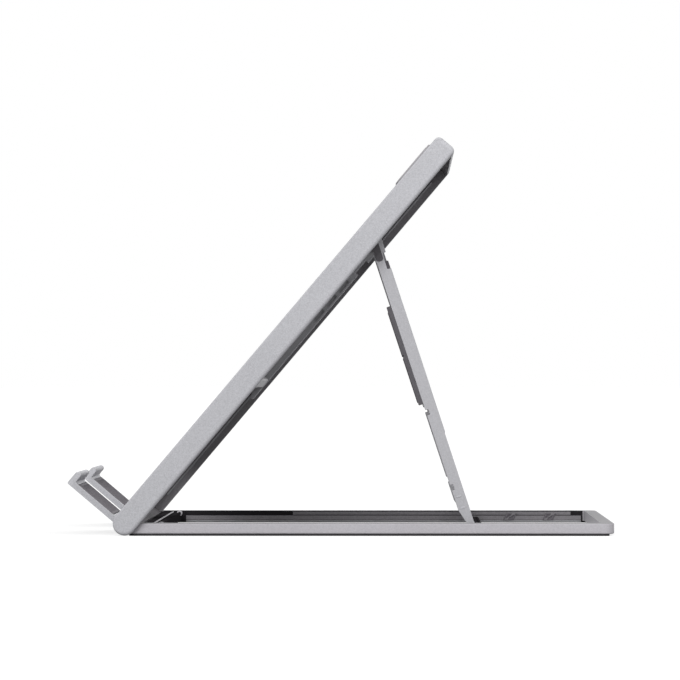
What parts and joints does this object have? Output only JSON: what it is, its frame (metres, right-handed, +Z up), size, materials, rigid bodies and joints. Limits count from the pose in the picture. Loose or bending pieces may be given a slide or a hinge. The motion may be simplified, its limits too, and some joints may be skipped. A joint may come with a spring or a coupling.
{
  "type": "laptop stand",
  "caption": "Folding laptop stand: open base frame, hinged platform on a long prop leg, a shorter leg folded under it, and two hooked stoppers in front.",
  "frame": {"origin": "on the floor, under the middle of the whole stand's bounding box", "axes": "+X towards the back of the stand, +Y to the left of the person sitting in front of it, +Z up"},
  "size_m": [0.2918, 0.25, 0.2115],
  "materials": {
    "shell": "fine blasted satin",
    "frame": "satin",
    "leg": "satin grey",
    "dark": "matte dark grey",
    "rubber": "matte dark grey",
    "steel": "bright"
  },
  "bodies": {
    "base": {"base_frame": "frame", "base_stop_bar": "frame", "base_foot_left": "rubber", "base_foot_right": "rubber", "hinge_washer_left": "steel", "hinge_washer_right": "steel"},
    "platform": {"platform_panel": "shell", "platform_rear_rail": "shell", "platform_front_bar": "shell", "side_arm_left": "shell", "side_arm_right": "shell", "panel_stiffener_1": "frame", "panel_stiffener_2": "frame", "panel_stiffener_3": "frame", "panel_stiffener_4": "frame", "stiffener_screw_1_left": "steel", "stiffener_screw_1_right": "steel", "stiffener_screw_2_left": "steel", "stiffener_screw_2_right": "steel", "stiffener_screw_3_left": "steel", "stiffener_screw_3_right": "steel", "stiffener_screw_4_left": "steel", "stiffener_screw_4_right": "steel", "hinge_pin_left": "steel", "hinge_pin_right": "steel", "top_pad_left": "rubber", "top_pad_right": "rubber", "leg_bracket_left": "frame", "leg_bracket_right": "frame", "leg_axle_left": "steel", "leg_axle_right": "steel", "stopper_pin_left": "steel", "stopper_pin_right": "steel", "bracket_screw_front_left": "steel", "bracket_screw_rear_left": "steel", "bracket_screw_front_right": "steel", "bracket_screw_rear_right": "steel"},
    "long_leg": {"long_leg_crossbar": "leg", "long_leg_arm_left": "leg", "long_leg_arm_right": "leg", "long_leg_block_left": "dark", "long_leg_block_right": "dark"},
    "short_leg": {"short_leg_crossbar": "leg", "short_leg_arm_left": "leg", "short_leg_arm_right": "leg", "short_leg_block_left": "dark", "short_leg_block_right": "dark"},
    "stopper_left": {"stopper_left": "shell", "stopper_pad_left": "rubber"},
    "stopper_right": {"stopper_right": "shell", "stopper_pad_right": "rubber"}
  },
  "joints": [
    {"name": "platform_tilt", "type": "hinge", "parent": "base", "child": "platform", "pos_m": [-0.11405, 0, 0.0065], "axis": [0, -1, 0], "range_deg": [-49.73, 0]},
    {"name": "long_leg_fold", "type": "hinge", "parent": "platform", "child": "long_leg", "pos_m": [0.01812, 0, 0.16019], "axis": [0, -1, 0], "range_deg": [-58.53, 25.3]},
    {"name": "short_leg_fold", "type": "hinge", "parent": "platform", "child": "short_leg", "pos_m": [0.01812, 0, 0.16019], "axis": [0, -1, 0], "range_deg": [0, 100.32]},
    {"name": "stopper_left_fold", "type": "hinge", "parent": "platform", "child": "stopper_left", "pos_m": [-0.11612, 0.06525, 0.00746], "axis": [0, -1, 0], "range_deg": [-90, 0]},
    {"name": "stopper_right_fold", "type": "hinge", "parent": "platform", "child": "stopper_right", "pos_m": [-0.11612, -0.06525, 0.00746], "axis": [0, -1, 0], "range_deg": [-90, 0]}
  ],
  "couplings": [
    {"joint": "long_leg_fold", "follows": "platform_tilt", "ratio": 1.177}
  ]
}
